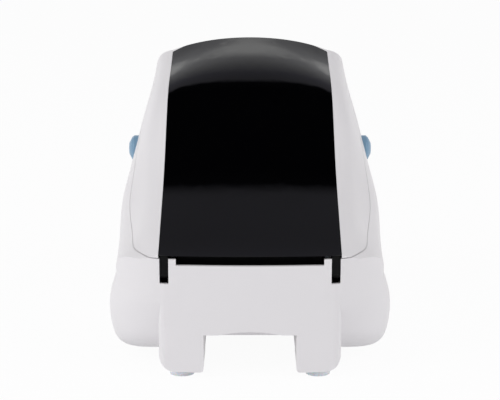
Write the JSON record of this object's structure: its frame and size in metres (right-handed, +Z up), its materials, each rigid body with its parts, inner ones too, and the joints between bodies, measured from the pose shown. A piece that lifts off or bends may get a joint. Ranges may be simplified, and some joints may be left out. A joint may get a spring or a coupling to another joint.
{
  "type": "thermal label printer",
  "caption": "Desktop thermal label printer with a curved smoked lid over the roll bay, a front label slot on a two-legged tongue and side release buttons.",
  "frame": {"origin": "centre of the bounding box at table height, under the feet", "axes": "+X to the printer's right as seen from behind the viewer facing the front, +Y from the front to the back, +Z up"},
  "size_m": [0.1664, 0.2247, 0.1754],
  "materials": {
    "white_abs": "fine satin moulded",
    "smoked_acrylic": "polished smoked sheet",
    "black_abs": "fine textured moulded",
    "grey_acetal": "moulded",
    "blue_abs": "satin moulded",
    "foot_rubber": "moulded",
    "platen_silicone": "ground",
    "bright_steel": "zinc plated or ground",
    "motor_can": "plated can",
    "head_aluminium": "extruded",
    "head_glaze": "glazed ceramic",
    "board_laminate": "solder mask",
    "chip_epoxy": "moulded epoxy",
    "port_shell": "folded plated sheet",
    "ribbon_film": "film",
    "lens_clear": "clear moulded"
  },
  "bodies": {
    "base": {"board_chips": "chip_epoxy", "bottom_cover": "white_abs", "button_spring_left": "bright_steel", "button_spring_right": "bright_steel", "chassis_screws": "bright_steel", "cover_screws": "bright_steel", "data_port": "port_shell", "dc_jack": "chip_epoxy", "head_pivot_shaft": "bright_steel", "head_ribbon": "ribbon_film", "head_spring": "bright_steel", "hinge_rod": "bright_steel", "idler_post": "bright_steel", "lid_switch": "black_abs", "lower_housing": "white_abs", "main_board": "board_laminate", "media_bay": "black_abs", "media_guide": "black_abs", "media_sensor": "black_abs", "print_chassis": "bright_steel", "rubber_feet": "foot_rubber", "status_lens": "lens_clear", "stepper_motor": "motor_can", "switch_case": "black_abs", "tear_bar": "bright_steel"},
    "lid": {"lid_frame": "white_abs", "lid_window": "smoked_acrylic", "lid_liner": "black_abs", "platen_bushes": "grey_acetal"},
    "platen": {"platen_rubber": "platen_silicone", "platen_shaft": "bright_steel", "platen_gear": "grey_acetal"},
    "print_head": {"head_heatsink": "head_aluminium", "head_ceramic": "head_glaze", "head_connector": "black_abs"},
    "idler": {"idler_gear": "grey_acetal"},
    "motor_rotor": {"motor_shaft": "bright_steel", "motor_pinion": "grey_acetal"},
    "release_left": {"release_button_left": "blue_abs"},
    "release_right": {"release_button_right": "blue_abs"},
    "feed": {"feed_button": "blue_abs"},
    "rocker": {"power_rocker": "black_abs"},
    "holder_left": {"roll_holder_left": "grey_acetal"},
    "holder_right": {"roll_holder_right": "grey_acetal"},
    "hub_left": {"roll_hub_left": "grey_acetal"},
    "hub_right": {"roll_hub_right": "grey_acetal"},
    "pinion": {"guide_pinion": "grey_acetal"}
  },
  "joints": [
    {"name": "lid_hinge", "type": "hinge", "parent": "base", "child": "lid", "pos_m": [0, 0.09125, 0.1204], "axis": [-1, 0, 0], "range_deg": [0, 80]},
    {"name": "platen_spin", "type": "hinge", "parent": "lid", "child": "platen", "pos_m": [0, -0.08975, 0.0674], "axis": [1, 0, 0], "continuous": true},
    {"name": "idler_spin", "type": "hinge", "parent": "base", "child": "idler", "pos_m": [0.0447, -0.07448, 0.05213], "axis": [1, 0, 0], "continuous": true},
    {"name": "motor_spin", "type": "hinge", "parent": "base", "child": "motor_rotor", "pos_m": [0.0447, -0.06214, 0.03742], "axis": [1, 0, 0], "continuous": true},
    {"name": "head_tilt", "type": "hinge", "parent": "base", "child": "print_head", "pos_m": [0, -0.07825, 0.0499], "axis": [1, 0, 0], "range_deg": [0, 3], "stiffness_Nm_per_rad": 2, "springref_deg": -2.86, "deforming": ["head_spring"]},
    {"name": "release_left_press", "type": "slide", "parent": "base", "child": "release_left", "axis": [1, 0, 0], "range_m": [0, 0.0025], "stiffness_N_per_m": 400, "springref_m": -0.002, "deforming": ["button_spring_left"]},
    {"name": "release_right_press", "type": "slide", "parent": "base", "child": "release_right", "axis": [-1, 0, 0], "range_m": [0, 0.0025], "stiffness_N_per_m": 400, "springref_m": -0.002, "deforming": ["button_spring_right"]},
    {"name": "feed_press", "type": "slide", "parent": "base", "child": "feed", "axis": [-1, 0, 0], "range_m": [0, 0.0008], "stiffness_N_per_m": 300, "springref_m": -0.001},
    {"name": "rocker_tip", "type": "hinge", "parent": "base", "child": "rocker", "pos_m": [-0.026, 0.09925, 0.0229], "axis": [0, 0, 1], "range_deg": [0, 14]},
    {"name": "holder_left_slide", "type": "slide", "parent": "base", "child": "holder_left", "axis": [1, 0, 0], "range_m": [0, 0.025]},
    {"name": "holder_right_slide", "type": "slide", "parent": "base", "child": "holder_right", "axis": [-1, 0, 0], "range_m": [0, 0.025]},
    {"name": "guide_pinion_spin", "type": "hinge", "parent": "base", "child": "pinion", "pos_m": [0, 0.01125, 0.0229], "axis": [0, 0, 1], "range_deg": [0, 240]},
    {"name": "hub_left_spin", "type": "hinge", "parent": "holder_left", "child": "hub_left", "pos_m": [-0.039, 0.01125, 0.0754], "axis": [1, 0, 0], "continuous": true},
    {"name": "hub_right_spin", "type": "hinge", "parent": "holder_right", "child": "hub_right", "pos_m": [0.039, 0.01125, 0.0754], "axis": [1, 0, 0], "continuous": true}
  ],
  "couplings": [
    {"joint": "idler_spin", "follows": "platen_spin", "ratio": -0.5},
    {"joint": "motor_spin", "follows": "platen_spin", "ratio": 1.5},
    {"joint": "holder_right_slide", "follows": "holder_left_slide", "ratio": 1},
    {"joint": "guide_pinion_spin", "follows": "holder_left_slide", "rad_per_m": 166.67}
  ]
}
